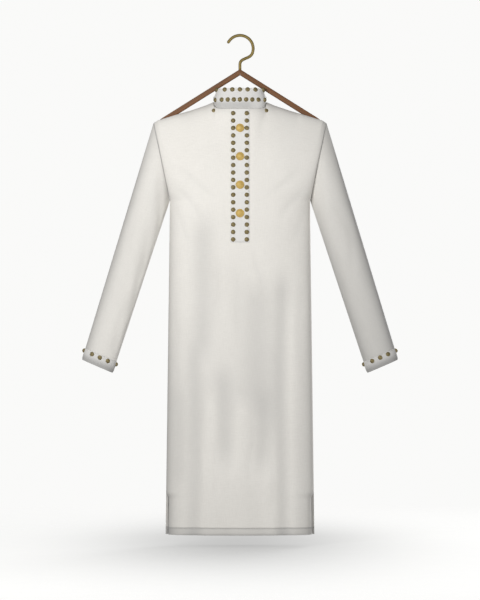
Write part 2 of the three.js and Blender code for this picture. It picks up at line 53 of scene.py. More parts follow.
TIP = (216.0, -216.0)
UNDERARM = (175.0, -409.0)
ARMHOLE_HALF_DEPTH = 36.0
SHOULDER_ROUNDING = 170.0
CHEST_ROUNDING = 210.0
SHOULDER_LINE = [(66, -163), (86, -171.5), (126, -185), (162, -195.5), (206.5, -209.5), (216, -216)]
SLOT_LINE = [(143, 0), (153, 6.6), (206.5, 6.6), (216, 0)]
NECK_HALF_WIDTH = 66.0
NECK_HALF_DEPTH = 46.0
NECK_FRONT_Z = -181.5
NECK_SIDE_Z = -163.0
NECK_BACK_Z = -165.0
ROUNDNESS = 2.6
RIM_HALF_WIDTH = 59.5
RIM_HALF_DEPTH = 43.0
RIM_Z = -129.5
RIM_SIDE_DIP = 7.5
COLLAR_THICKNESS = 2.0
COLLAR_ROLL_FROM = 0.985
COLLAR_STITCH_RISES = (0.945, 0.07)
SIDE_LINE = [(-1243, 186), (-900, 181.5), (-630, 178), (-409, 175)]
DEPTH_LINE = {
    FRONT: [(-1243, 66), (-800, 60), (-409, 60), (-160, 55)],
    BACK: [(-1243, 65), (-800, 59), (-409, 58), (-160, 53)],
}
HEM_Z = -1243.0
HEM_STITCH_Z = -1225.5
HEM_LINE_Z = HEM_STITCH_Z - 0.3
HEM_STITCH_REACH = 176.0
HEM_ROLL = 0.94
FINE_ROWS_Z = -1215.0
SLIT_TOP_Z = -1138.0
SLIT_FRONT_INSET = 6.5
SLIT_HALF_GAP = 4.0
SLIT_RUN_OUT = 12.0
SLIT_FOLD = 4.0
SLIT_FOLD_WIDTH = 5.0
SLIT_STITCH_TOP_Z = SLIT_TOP_Z + 2
TOP_COLUMNS = [0, 16, 32, 46, 57, 63.5, 66, 86, 106, 126, 143, 153, 180, 206.5, 216]
HALF_COLUMNS = len(TOP_COLUMNS) - 1
SLEEVE_OUTER_HEM = (395.0, -806.5)
SLEEVE_INNER_HEM = (318.0, -840.0)
SLEEVE_HALF_DEPTH = 27.0
# How far out and how far down the middle of a sleeve runs.
SLEEVE_RUN = (159.0, 511.0)
CUFF_HEIGHT = 30.0
CUFF_PROUD = 0.4
CUFF_EASE = 0.5
CUFF_THICKNESS = 2.0
CUFF_STITCH_ABOVE = (27.0, 3.2)
PLACKET_HALF_WIDTH = 24.0
PLACKET_TOP_Z = -182.6
PLACKET_BOTTOM_Z = -515.0
PLACKET_PROUD = 1.9
PLACKET_STITCH_INSET = 3.2
WIRE_RADIUS = 3.75
BEND_RADIUS = 33.0
# Where the hook's round stretch begins and ends, in degrees.
HOOK_ANGLES = (157, -19)
STEM_TOP = (0, 0, -69.0)
STEM_BOTTOM = (0, 0, -91.0)
ARM_APEX_Z = -80.6
ARM_SLOPE = 0.6277
ARM_HEIGHT = 15.4
ARM_HALF_DEPTH = 6.0
ARM_TAPER_FROM = 192.0
ARM_REACH = 205.5

# Folds as x, half width, top, bottom and depth. A positive depth is a trough.
FOLD_RUN_OUT = 90.0
FRONT_FOLDS = [
    (-158, 20, -840, -1170, 3.5),
    (-114, 20, -740, -1400, 5.5),
    (-93, 27, -420, -840, 6),
    (-70, 22, -860, -1400, -3),
    (-38, 24, -800, -1110, 5.5),
    (8, 26, -880, -1400, -4),
    (48, 40, -590, -980, 5),
    (62, 24, -860, -1120, 5),
    (84, 20, -960, -1400, -3),
    (108, 20, -560, -1400, 6),
    (136, 24, -640, -1400, -2.5),
]
BACK_FOLDS = [
    (-138, 28, -480, -1400, -3),
    (-100, 26, -520, -1400, 7),
    (-58, 26, -700, -1400, -4),
    (-22, 28, -460, -1400, 6),
    (22, 28, -780, -1400, -4),
    (62, 26, -560, -1160, 6),
    (112, 26, -640, -1400, 7),
    (146, 26, -820, -1400, -3),
]

# Finer creases as x0, z0, x1, z1, half width and depth, only in the looks.
FRONT_CREASES = [
    (-150, -330, -70, -395, 9, 1.3),
    (-158, -372, -96, -452, 8, 1.4),
    (-164, -420, -128, -520, 8, 1.2),
    (150, -332, 78, -390, 9, 1.3),
    (158, -376, 102, -450, 8, 1.4),
    (163, -425, 132, -512, 8, 1.1),
    (-52, -560, -60, -700, 10, 1.0),
    (36, -545, 60, -640, 9, 1.2),
    (-8, -560, -4, -760, 12, 1.0),
    (30, -930, 26, -1110, 9, 1.2),
    (-92, -960, -94, -1120, 8, -1.0),
    (150, -600, 148, -820, 10, 1.1),
    (-160, -640, -157, -900, 9, 1.1),
    (-60, -1000, -62, -1180, 8, 1.2),
    (80, -1040, 84, -1200, 8, 1.1),
]
BACK_CREASES = [
    (-148, -335, -72, -400, 9, 1.4),
    (-160, -385, -105, -470, 8, 1.4),
    (146, -335, 76, -404, 9, 1.4),
    (160, -388, 108, -466, 8, 1.3),
    (-78, -560, -84, -760, 10, 1.1),
    (36, -520, 44, -700, 10, 1.2),
    (-120, -880, -118, -1100, 9, 1.2),
    (84, -820, 88, -1010, 9, 1.2),
    (0, -900, 4, -1120, 10, 1.2),
    (132, -760, 136, -940, 9, 1.1),
]
FOLDS = {FRONT: FRONT_FOLDS, BACK: BACK_FOLDS}
CREASES = {FRONT: FRONT_CREASES, BACK: BACK_CREASES}
UNEVEN_PHASE = {FRONT: 0.4, BACK: 2.2}

# Painted shade on the panels: how much greyer the cloth is made where shade falls, from 0 to 1. A pair is for
# the wearer's right and left.
TROUGH_PAINTED_SHADE = 0.30
FAR_SHOULDER_PAINTED_SHADE = 0.16
LOW_MIDDLE_PAINTED_SHADE = 0.10
HEM_PAINTED_SHADE = 0.40
HEM_LINE_PAINTED_SHADE = 0.85
SHOULDER_PAINTED_SHADE = 0.26
NECK_CORNER_PAINTED_SHADE = 0.22
SIDE_PAINTED_SHADE = (0.42, 0.0)
ARMHOLE_PAINTED_SHADE = (0.75, 0.05)


def lerp(a, b, t):
    return a + (b - a) * t


def smooth(value, low, high):
    t = np.clip((value - low) / (high - low), 0, 1)
    return t * t * (3 - 2 * t)


def bell(distance, width):
    return np.exp(-((distance / width) ** 2))


def superellipse(ratio):
    return np.maximum(0.0, 1 - np.minimum(1, np.abs(ratio)) ** ROUNDNESS) ** (1 / ROUNDNESS)


def read(table, at):
    rows = np.array(sorted(table), float)
    return np.interp(at, rows[:, 0], rows[:, 1])


def unit(vectors):
    return vectors / np.maximum(np.linalg.norm(vectors, axis=-1, keepdims=True), 1e-9)


# ---- body panels

def fold_depth(side, x, z):
    total = np.zeros_like(x)
    for fx, width, top, bottom, depth in FOLDS[side]:
        across = bell(x - fx - 3.0 * np.sin(z / 97.0 + fx), width)
        total += depth * across * smooth(top - z, 0, FOLD_RUN_OUT) * smooth(z - bottom, 0, FOLD_RUN_OUT)
    return total


def crease_depth(side, x, z):
    total = np.zeros_like(x)
    for x0, z0, x1, z1, width, depth in CREASES[side]:
        run = math.hypot(x1 - x0, z1 - z0)
        along = ((x - x0) * (x1 - x0) + (z - z0) * (z1 - z0)) / run
        off = ((x - x0) * (z1 - z0) - (z - z0) * (x1 - x0)) / run
        off = off + 2.5 * np.sin(along / 23.0 + x0)
        ends = smooth(along, -25, run * 0.35) * (1 - smooth(along, run * 0.65, run + 25))
        total += depth * bell(off, width) * ends
    return total


def unevenness(x, z, phase):
    slow = np.sin(x / 37.0 + phase + 0.6 * np.sin(z / 130.0)) * np.sin(z / 171.0 + 1.3 * phase)
    small = np.sin(x / 15.5 + 2.1 * phase + np.sin(z / 61.0)) * np.sin(z / 53.0 - phase)
    return 0.9 * slow + 0.28 * small


def top_edge(side, column):
    x = np.sign(column) * np.interp(np.abs(column), range(HALF_COLUMNS + 1), TOP_COLUMNS)
    reach = np.abs(x)
    in_neck = reach <= NECK_HALF_WIDTH
    ring = superellipse(reach / NECK_HALF_WIDTH)
    middle_z = NECK_FRONT_Z if side == FRONT else NECK_BACK_Z
    neck_z = lerp(middle_z, NECK_SIDE_Z, (1 - ring) ** 2)
    ridge_depth = SEAM_GAP / 2 + read(SLOT_LINE, reach)
    depth = np.where(in_neck, np.maximum(SEAM_GAP / 2, NECK_HALF_DEPTH * ring), ridge_depth)
    return x, depth, np.where(in_neck, neck_z, read(SHOULDER_LINE, reach))


def armhole_depth(share):
    return ARMHOLE_HALF_DEPTH * 2 * np.sqrt(np.maximum(0, share * (1 - share) * (1 - share ** 2)))


def rounding(drop, top_depth):
    shoulder = 1 - np.minimum(1, drop / SHOULDER_ROUNDING)
    chest = 1 - np.minimum(1, drop / CHEST_ROUNDING)
    flat = np.clip(top_depth / NECK_HALF_DEPTH, 0, 1)
    return lerp(np.sqrt(np.maximum(0, 1 - shoulder ** 2)), 1 - chest ** 2, flat)


def hem_curl(above, height, depth):
    """How far a turned-up hem rolls in, by the distance above its edge."""
    t = HEM_ROLL * np.clip(1 - above / height, 0, 1)
    return depth * (1 - np.sqrt(1 - t ** 2)) / (1 - math.sqrt(1 - HEM_ROLL ** 2))


def upper_point(side, column, share):
    """Place and depth of a panel above the underarm, without folds."""
    top_x, top_depth, top_z = top_edge(side, column)
    ratio = lerp(top_x / TIP[0], column / HALF_COLUMNS, smooth(share, 0, 1))
    z = lerp(top_z, UNDERARM[1], share)
    middle = read(DEPTH_LINE[side], z)
    edge = armhole_depth(share)
    crown = superellipse(ratio)
    full = edge + (middle - edge) * crown
    depth = lerp(top_depth, full, rounding(top_z - z, top_depth))
    return np.stack(np.broadcast_arrays(ratio * lerp(TIP[0], UNDERARM[0], share), depth, z, crown))


def eased_point(side, column, share):
    """The same, averaged sideways where the neck's corner runs into the shoulder."""
    _, _, top_z = top_edge(side, column)
    drop = (top_z - UNDERARM[1]) * share
    reach = 2.6 * smooth(drop, 1, 40) * (1 - smooth(np.abs(column), 9.5, 13))
    reach = reach * smooth(np.abs(column), 2.2, 4.4)
    steps = np.linspace(-1, 1, 13)
    weights = np.cos(steps * math.pi / 2.2) ** 2
    total = sum(w * upper_point(side, column + t * reach, share) for t, w in zip(steps, weights))
    return total / weights.sum()


def slit_open(z):
    """0 above the slits and 1 where they are fully open."""
    return smooth(SLIT_TOP_Z - z, 0, SLIT_RUN_OUT)


def half_width_at(side, z):
    return read(SIDE_LINE, z) - (SLIT_FRONT_INSET * slit_open(z) if side == FRONT else 0)


def lower_point(side, column, level):
    """Place and depth of a panel below the underarm, without folds."""
    ratio = column / HALF_COLUMNS + 0 * level
    z = level + 0 * column
    edge = np.maximum(SEAM_GAP / 2, SLIT_HALF_GAP * slit_open(z))
    middle = read(DEPTH_LINE[side], z)
    crown = superellipse(ratio)
    depth = edge + (middle - edge) * crown
    return np.stack(np.broadcast_arrays(ratio * half_width_at(side, z), depth, z, crown))


def panel(side, column, share=None, level=None):
    """Points of a panel's outside, at columns across and at armhole shares or heights down."""
    _, _, top_z = top_edge(side, column)
    point = lower_point(side, column, level) if share is None else eased_point(side, column, share)
    x, depth, z, crown = point
    drop = np.maximum(0, top_z - z)
    inward = fold_depth(side, x, z) + crease_depth(side, x, z) + unevenness(x, z, UNEVEN_PHASE[side])
    calm = smooth(drop, 0, 60)
    if side == FRONT:
        from_placket = np.maximum(np.abs(x) - PLACKET_HALF_WIDTH, (PLACKET_BOTTOM_Z - z) * 0.6)
        calm = calm * (0.25 + 0.75 * smooth(from_placket, 0, 16))
    depth = depth - inward * crown * calm
    depth = depth - hem_curl(z - HEM_Z, 8, 2.6) * crown
    depth = depth - 1.2 * bell(z - HEM_LINE_Z, 1.5) * crown
    return np.stack([x, side * np.maximum(SEAM_GAP / 2, depth), z], axis=-1)


def column_of(side, x, z):
    """The column and share of the armhole at which a panel passes a place seen from the front."""
    low = np.full_like(x, -HALF_COLUMNS)
    high = np.full_like(x, HALF_COLUMNS)
    for _ in range(26):
        column = (low + high) / 2
        _, _, top_z = top_edge(side, column)
        share = np.clip((top_z - z) / (top_z - UNDERARM[1]), 0, 1)
        below = eased_point(side, column, share)[0] < x
        low = np.where(below, column, low)
        high = np.where(below, high, column)
    return (low + high) / 2, share


def on_panel(side, x, z):
    """Points of a panel's outside at places seen from the front."""
    x, z = np.broadcast_arrays(np.asarray(x, float), np.asarray(z, float))
    column, share = column_of(side, x, z)
    upper = panel(side, column, share=share)
    lower = panel(side, np.clip(x / half_width_at(side, z), -1, 1) * HALF_COLUMNS, level=z)
    return np.where((z > UNDERARM[1])[..., None], upper, lower)


def facing_of(surface, x, z, outward):
    """Outward direction of a surface given as a function of x and z."""
    step = 0.6
    across = surface(x + step, z) - surface(x - step, z)
    down = surface(x, z - step) - surface(x, z + step)
    facing = unit(np.cross(across, down))
    return facing * np.sign(np.sum(facing * outward, axis=-1, keepdims=True))


# ---- meshes

def grid_normals(grid, ring):
    if ring:
        across = np.roll(grid, -1, axis=1) - np.roll(grid, 1, axis=1)
    else:
        across = np.gradient(grid, axis=1)
    down = np.gradient(grid, axis=0)
    return unit(np.cross(across, down))


def grid_faces(rows, columns, ring_across=False, ring_down=False):
    r = np.arange(rows if ring_down else rows - 1)[:, None]
    c = np.arange(columns if ring_across else columns - 1)[None, :]
    r2 = (r + 1) % rows
    c2 = (c + 1) % columns
    corners = [r * columns + c, r * columns + c2, r2 * columns + c2, r2 * columns + c]
    return np.stack(corners, axis=-1).reshape(-1, 4)


def shell_faces(rows, columns, ring=False):
    """Faces of two grids of points, one under the other, closed along their edges."""
    shift = rows * columns
    index = np.arange(shift).reshape(rows, columns)
    around = np.append(index, index[:, :1], axis=1) if ring else index
    edges = [around[0, ::-1], around[-1]]
    if not ring:
        edges += [index[:, 0], index[::-1, -1]]
    walls = [np.stack([edge[:-1], edge[1:], edge[1:] + shift, edge[:-1] + shift], axis=-1) for edge in edges]
    front = grid_faces(rows, columns, ring_across=ring)
    return np.concatenate([front, front[:, ::-1] + shift, *walls])


def bar_faces(rings, sides, base=0):
    """Faces of a bar made of rings and closed at both ends, from its first point's number."""
    last = base + (rings - 1) * sides
    faces = (grid_faces(rings, sides, ring_across=True) + base).tolist()
    return faces + [list(range(base, base + sides))[::-1], list(range(last, last + sides))]


def outward(grid, normals, centre):
    """Turns a grid's normals away from a centre line."""
    sign = np.sign(np.sum(normals * (grid - centre)))
    return normals * sign


def cloth_shell(grid, centre, ring=False, thickness=CLOTH):
    """Points and faces of a thin closed shell on the inside of a grid of points."""
    normals = outward(grid, grid_normals(grid, ring), centre)
    inner = grid - normals * thickness
    if not ring:
        side = np.sign(grid[..., 1:2])
        inner[..., 1:2] = side * np.maximum(SEAM_GAP / 2, side * inner[..., 1:2])
    return np.concatenate([grid.reshape(-1, 3), inner.reshape(-1, 3)]), shell_faces(*grid.shape[:2], ring)


def add_object(name, data):
    added = bpy.data.objects.new(name, data)
    bpy.context.scene.collection.objects.link(added)
    return added


def mesh_piece(name, points, faces, material, slot, replaces=None, sharp=38, shade=None):
    points = np.asarray(points) * MM
    mesh = bpy.data.meshes.new(name)
    mesh.from_pydata(points.tolist(), [], [list(map(int, face)) for face in faces])
    # Painted shade on each point, kept as the shade attribute for the cotton to darken by.
    if shade is not None:
        layer = mesh.attributes.new("shade", "FLOAT", "POINT")
        layer.data.foreach_set("value", np.broadcast_to(shade, len(points)).astype(np.float32))
    if signed_volume(mesh) < 0:
        mesh.flip_normals()
    mesh.polygons.foreach_set("use_smooth", [True] * len(mesh.polygons))
    mesh.set_sharp_from_angle(angle=math.radians(sharp))
    mesh.materials.append(material)
    piece = add_object(name, mesh)
    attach(piece, "root")
    if replaces:
        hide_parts(*replaces)
    return piece


def signed_volume(mesh):
    form = bmesh.new()
    form.from_mesh(mesh)
    volume = form.calc_volume(signed=True)
    form.free()
    return volume


def frames_at(facings):
    """Three directions for each facing: two sideways and its own."""
    up = np.where(np.abs(facings[:, 2:3]) > 0.95, [[1.0, 0, 0]], [[0, 0, 1.0]])
    first = unit(np.cross(up, facings))
    return np.stack([first, np.cross(facings, first), facings], axis=1)


def turned_pieces(places, facings, profile, sides, ripple=None):
    """Round forms of one profile, stood at places along facings. Each profile point is radius, height."""
    profile = np.array(profile, float)
    angle = np.arange(sides) * 2 * math.pi / sides
    rings = len(profile)
    radius = np.repeat(profile[:, :1], sides, axis=1)
    if ripple is not None:
        radius = radius + np.array(ripple)[:, None] * np.cos(angle * sides / 2)[None, :]
    height = np.repeat(profile[:, 1:], sides, axis=1)
    local = np.stack([radius * np.cos(angle), radius * np.sin(angle), height], axis=-1).reshape(-1, 3)
    points = places[:, None, :] + local @ frames_at(facings)
    faces = [face for k in range(len(places)) for face in bar_faces(rings, sides, k * rings * sides)]
    return points.reshape(-1, 3), faces


STITCH_LENGTH = 2.5
STITCH_GAP = 1.5
STITCH_RADIUS = 0.32
STITCH_LIFT = 0.12


def stitch_pieces(lines):
    """Small closed stitches along lines of points with facings."""
    points, faces = [], []
    sides = 6
    turn = np.arange(sides) * 2 * math.pi / sides
    stations = [(-0.5, 0.35), (-0.3, 1.0), (0.3, 1.0), (0.5, 0.35)]
    for line, facing in lines:
        steps = np.linalg.norm(np.diff(line, axis=0), axis=1)
        travel = np.concatenate([[0], np.cumsum(steps)])
        count = max(1, int(travel[-1] // (STITCH_LENGTH + STITCH_GAP)))
        for k in range(count):
            at = (k + 0.5) * travel[-1] / count
            low, high = at - STITCH_LENGTH / 2, at + STITCH_LENGTH / 2
            middle, before, after, out = (
                np.array([np.interp(t, travel, source[:, i]) for i in range(3)])
                for t, source in ((at, line), (low, line), (high, line), (at, facing)))
            along = unit(after - before)
            out = unit(out - along * np.dot(out, along))
            beside = np.cross(along, out)
            base = len(points)
            for share, size in stations:
                centre = middle + along * share * STITCH_LENGTH + out * (STITCH_LIFT - 0.25 * (1 - size))
                for angle in turn:
                    away = math.cos(angle) * beside + math.sin(angle) * out
                    points.append(centre + STITCH_RADIUS * size * away)
            faces.extend(bar_faces(len(stations), sides, base))
    return np.array(points), faces


# ---- materials

def feed(tree, node, **values):
    """Sets a node's sockets, by their names with _ for a space, to values or other nodes' outputs."""
    for name, value in values.items():
        socket = node.inputs[name.replace("_", " ")]
        if isinstance(value, bpy.types.NodeSocket):
            tree.links.new(value, socket)
        else:
            socket.default_value = (*value, 1) if socket.type == "RGBA" else value


def add_node(tree, kind, modes=(), **values):
    """A new node. Its modes come first, because they decide which sockets it has."""
    node = tree.nodes.new("ShaderNode" + kind)
    for name, mode in modes:
        setattr(node, name, mode)
    feed(tree, node, **values)
    return node


class Shader:
    """A node material under construction."""

    def __init__(self, name):
        self.material = bpy.data.materials.new(name)
        self.material.use_nodes = True
        self.tree = self.material.node_tree
        self.tree.nodes.clear()
        self.shader = add_node(self.tree, "BsdfPrincipled")
        add_node(self.tree, "OutputMaterial", Surface=self.shader.outputs[0])
        self.place = add_node(self.tree, "TexCoord").outputs["Object"]

    def mapped(self, scale, rotation=(0, 0, 0)):
        modes = [("rotation_type", "EULER_XYZ")]
        turn = add_node(self.tree, "VectorRotate", modes, Vector=self.place, Rotation=rotation)
        return self.vector("MULTIPLY", turn.outputs[0], scale).outputs[0]

    def vector(self, operation, first, second=(0, 0, 0)):
        node = add_node(self.tree, "VectorMath", [("operation", operation)])
        self.tree.links.new(first, node.inputs[0])
        node.inputs[1].default_value = second
        return node

    def noise(self, scale, rotation=(0, 0, 0), detail=2.0, roughness=0.5, distortion=0.0):
        node = add_node(self.tree, "TexNoise", Vector=self.mapped(scale, rotation), Scale=1.0, Detail=detail,
                        Roughness=roughness, Distortion=distortion)
        return node.outputs["Fac"]

    def math(self, operation, first, second):
        node = add_node(self.tree, "Math", [("operation", operation)])
        for socket, value in zip(node.inputs, (first, second)):
            if isinstance(value, (int, float)):
                socket.default_value = value
            else:
                self.tree.links.new(value, socket)
        return node.outputs[0]

    def spread(self, value, low, high):
        return add_node(self.tree, "MapRange", Value=value, From_Min=low, From_Max=high).outputs[0]

    def mix(self, factor, first, second):
        node = add_node(self.tree, "Mix", [("data_type", "RGBA")], Factor=factor, A=first, B=second)
        return node.outputs[2]

    def distance(self, scale, shift):
        """Length of the place after a stretch and a shift."""
        moved = self.vector("ADD", self.mapped(scale), shift)
        return self.vector("LENGTH", moved.outputs[0]).outputs["Value"]

    def falloff(self, scale, shift):
        """A soft bell round a point: 1 in its middle, towards 0 far away."""
        away = self.distance(scale, shift)
        return self.math("POWER", math.e, self.math("MULTIPLY", self.math("MULTIPLY", away, away), -1.0))

    def attribute(self, name):
        return add_node(self.tree, "Attribute", [("attribute_name", name)]).outputs["Fac"]

    def bump(self, height, strength, distance):
        node = add_node(self.tree, "Bump", Height=height, Strength=strength, Distance=distance)
        self.set(Normal=node.outputs[0])

    def set(self, **values):
        feed(self.tree, self.shader, **values)


# What a painted shade of 1 turns the cotton into: a grey that stands in for shade.
SHADE_GREY = (0.40, 0.395, 0.385)


def cotton(name, light, dark, angle=0.0, grain=1.0, nap=0.12):
    """Plain-woven cotton with slubs along both threads, turned to follow the piece, its colour mixed towards
    a grey by each point's painted shade.
    """
    s = Shader(name)
    turn = (0, angle, 0)
    weft = s.noise((70, 70, 850), turn, 3)
    warp = s.noise((800, 800, 55), turn, 3)
    fine_weft = s.noise((420, 420, 2400), turn, 1)
    fine_warp = s.noise((2400, 2400, 420), turn, 1)
    cloud = s.noise((5, 5, 4), turn, 3, 0.55)
    thread = s.math("MULTIPLY", s.math("ADD", weft, warp), 0.5)
    fine = s.math("MULTIPLY", s.math("ADD", fine_weft, fine_warp), 0.5)
    tone = s.math("ADD", s.math("MULTIPLY", thread, 0.62), s.math("MULTIPLY", cloud, 0.38))
    woven = s.mix(s.spread(tone, 0.36, 0.66), dark, light)
    height = s.math("ADD", s.math("MULTIPLY", thread, 0.6 * grain), s.math("MULTIPLY", fine, 0.4))
    s.bump(height, 0.35, 0.0006)
    # Painted shade: the shade attribute darkens the woven colour towards SHADE_GREY.
    s.set(Base_Color=s.mix(s.attribute("shade"), woven, SHADE_GREY), Roughness=0.88,
          Sheen_Weight=nap, Sheen_Roughness=0.5, Specular_IOR_Level=0.25)
    return s.material


def thread(name, light, dark):
    s = Shader(name)
    ply = s.noise((900, 900, 900), detail=2)
    s.bump(ply, 0.3, 0.0003)
    s.set(Base_Color=s.mix(s.spread(ply, 0.35, 0.65), dark, light), Roughness=0.6, Sheen_Weight=0.2)
    return s.material


def metal(name, light, dark, roughness, scale, metallic, strength=0.12):
    s = Shader(name)
    tarnish = s.noise((scale, scale, scale), detail=4, roughness=0.6)
    patches = s.noise((scale * 0.14, scale * 0.14, scale * 0.14), detail=2)
    tone = s.math("ADD", s.math("MULTIPLY", tarnish, 0.45), s.math("MULTIPLY", patches, 0.55))
    rough = s.math("ADD", s.math("MULTIPLY", tarnish, 0.22), roughness - 0.11)
    s.bump(tarnish, strength, 0.0004)
    s.set(Base_Color=s.mix(s.spread(tone, 0.38, 0.62), dark, light), Roughness=rough, Metallic=metallic)
    return s.material


def wood(name, angle):
    """Stained hardwood, with its grain along the arm."""
    s = Shader(name)
    turn = (0, angle, 0)
    grain = s.noise((9, 420, 420), turn, 4, 0.6, 0.4)
    bands = s.noise((3.5, 95, 95), turn, 3, 0.55, 0.8)
    pores = s.noise((60, 1900, 1900), turn, 2)
    tone = s.math("ADD", s.math("MULTIPLY", grain, 0.45), s.math("MULTIPLY", bands, 0.55))
    brown = s.mix(s.spread(tone, 0.36, 0.64), (0.115, 0.046, 0.016), (0.205, 0.092, 0.036))
    s.bump(s.math("ADD", grain, s.math("MULTIPLY", pores, 0.5)), 0.18, 0.0005)
    s.set(Base_Color=s.mix(s.spread(pores, 0.62, 0.74), brown, (0.07, 0.028, 0.012)),
          Roughness=s.math("ADD", s.math("MULTIPLY", grain, 0.3), 0.42),
          Coat_Weight=0.06, Coat_Roughness=0.35, Specular_IOR_Level=0.3)
    return s.material


IVORY = (0.868, 0.845, 0.80)
IVORY_SHADE = (0.775, 0.752, 0.708)
TRIM_IVORY = (0.82, 0.81, 0.785), (0.73, 0.72, 0.70)
SLEEVE_ANGLE = math.atan2(*SLEEVE_RUN)
BODY_COTTON = cotton("cotton_body", IVORY, IVORY_SHADE)
SLEEVE_COTTON = {hand: cotton(f"cotton_sleeve_{name}", IVORY, IVORY_SHADE, hand * SLEEVE_ANGLE)
                 for hand, name in HANDS}
TRIM = cotton("cotton_trim", *TRIM_IVORY, grain=0.7, nap=0.6)
CUFF_TRIM = {hand: cotton(f"cotton_cuff_{name}", *TRIM_IVORY, hand * SLEEVE_ANGLE, 0.7)
             for hand, name in HANDS}
THREAD = thread("sewing_thread", (0.70, 0.67, 0.60), (0.50, 0.48, 0.43))
BEAD_GOLD = metal("bead_gold", (0.245, 0.195, 0.088), (0.155, 0.122, 0.052), 0.55, 900, 0.45)
BUTTON_METAL = metal("button_metal", (0.62, 0.44, 0.135), (0.50, 0.34, 0.095), 0.62, 700, 0.35)
HOOK_BRASS = metal("hook_brass", (0.30, 0.225, 0.075), (0.21, 0.155, 0.05), 0.6, 300, 0.6, 0.03)

# ---- cloth pieces

def even_columns():
    """Columns across a panel, denser where the neck turns into the shoulder."""
    half = np.concatenate([np.linspace(0, 3, 16)[:-1], np.linspace(3, 6, 26)[:-1], np.linspace(6, 14, 44)])
    last = half[-1] - 1.2 * (1 - np.linspace(0, 1, 12)) ** 2
    half = np.unique(np.round(np.concatenate([half, last]), 4))
    return np.concatenate([-half[::-1], half[1:]])


def panel_grid(side):
    column = even_columns()[None, :]
    share = ((1 - np.cos(np.linspace(0, 1, 76) * math.pi * 0.62)) / (1 - math.cos(math.pi * 0.62)))[:, None]
    levels = np.concatenate([
        np.linspace(UNDERARM[1], FINE_ROWS_Z, 150)[1:],
        np.linspace(FINE_ROWS_Z, HEM_Z, 19)[1:],
    ])[:, None]
    return np.concatenate([panel(side, column, share=share), panel(side, column, level=levels)])


def panel_shade(side, grid):
    """Painted shade on a panel, where shade falls: in its troughs, in its seams, at its hem, and where it
    turns away at its edges.
    """
    x, z = grid[..., 0], grid[..., 2]
    trough = fold_depth(side, x, z) + 1.3 * crease_depth(side, x, z)
    shade = TROUGH_PAINTED_SHADE * np.clip(trough / 7, -0.2, 1)
    # Painted shade over the upper part of the wearer's left side and over the lower middle, which the light
    # reaches less.
    shade += FAR_SHOULDER_PAINTED_SHADE * smooth(x, 20, 150) * smooth(z, -380, -230)
    shade += LOW_MIDDLE_PAINTED_SHADE * bell(z + 900, 190) * smooth(130 - x, 0, 90)
    from_side = np.abs(x[:, -1:]) - np.abs(x)
    below = smooth(UNDERARM[1] + 60 - z, 0, 120)
    shade += np.where(x > 0, SIDE_PAINTED_SHADE[1], SIDE_PAINTED_SHADE[0]) * below * np.exp(-((from_side / 14.0) ** 1.2))
    seam = (z > UNDERARM[1] - 2) * bell(from_side, 1.6)
    shade += np.where(x > 0, ARMHOLE_PAINTED_SHADE[1], ARMHOLE_PAINTED_SHADE[0]) * seam
    shade += HEM_PAINTED_SHADE * (1 - smooth(z, HEM_STITCH_Z - 2.5, HEM_STITCH_Z - 0.5))
    shade += HEM_LINE_PAINTED_SHADE * bell(z - HEM_LINE_Z, 1.7)
    from_top = grid[0:1, :, 2] - z
    by_neck = bell(np.abs(x) - NECK_HALF_WIDTH, 24) * (np.abs(x) > NECK_HALF_WIDTH - 4)
    top = np.exp(-(from_top / (9.0 + 7 * by_neck)) ** 1.2) * (from_top < 80)
    return np.clip(shade + (SHOULDER_PAINTED_SHADE + NECK_CORNER_PAINTED_SHADE * by_neck) * top, 0, 0.85)


def slit_fold(grid):
    """How much thicker a panel is where its slit edges are folded in."""
    steps = np.linalg.norm(np.diff(grid, axis=1), axis=-1)
    travel = np.concatenate([np.zeros((len(grid), 1)), np.cumsum(steps, axis=1)], axis=1)
    from_edge = np.minimum(travel, travel[:, -1:] - travel)
    return SLIT_FOLD * np.exp(-((from_edge / SLIT_FOLD_WIDTH) ** 4)) * slit_open(grid[..., 2])


def cloth_piece(name, node, grid, centre, material, slot, shade, **form):
    """A cloth shell under a grid, with the same painted shade on both of its sides."""
    points, faces = cloth_shell(grid, centre, **form)
    shade = np.tile(np.broadcast_to(shade, grid.shape[:2]).reshape(-1), 2)
    return mesh_piece(name, points, faces, material, slot, [node], shade=shade)


def make_panel(name, side):
    grid = panel_grid(side)
    return cloth_piece(f"{name}_panel", name, grid, np.array([0, 0, -600.0]), BODY_COTTON, "cotton",
                       panel_shade(side, grid), thickness=CLOTH + slit_fold(grid)[..., None])


def section(outer, inner, share, half_depth, side):
    depth = half_depth * 2 * np.sqrt(np.maximum(0, share * (1 - share)))
    return np.stack([lerp(outer[0], inner[0], share), side * depth, lerp(outer[1], inner[1], share)], axis=-1)


def cuff_seam(top, hem):
    share = 1 - CUFF_HEIGHT / math.hypot(hem[0] - top[0], hem[1] - top[1])
    return lerp(top[0], hem[0], share), lerp(top[1], hem[1], share)


OUTER_SEAM = cuff_seam(TIP, SLEEVE_OUTER_HEM)
INNER_SEAM = cuff_seam(UNDERARM, SLEEVE_INNER_HEM)


def round_shares(count):
    """Shares across and sides, once round a sleeve from its outer edge down the front."""
    angle = np.arange(count) / count * 2 * math.pi
    return (1 - np.cos(angle)) / 2, np.where(np.sin(angle) >= 0, FRONT, BACK), angle


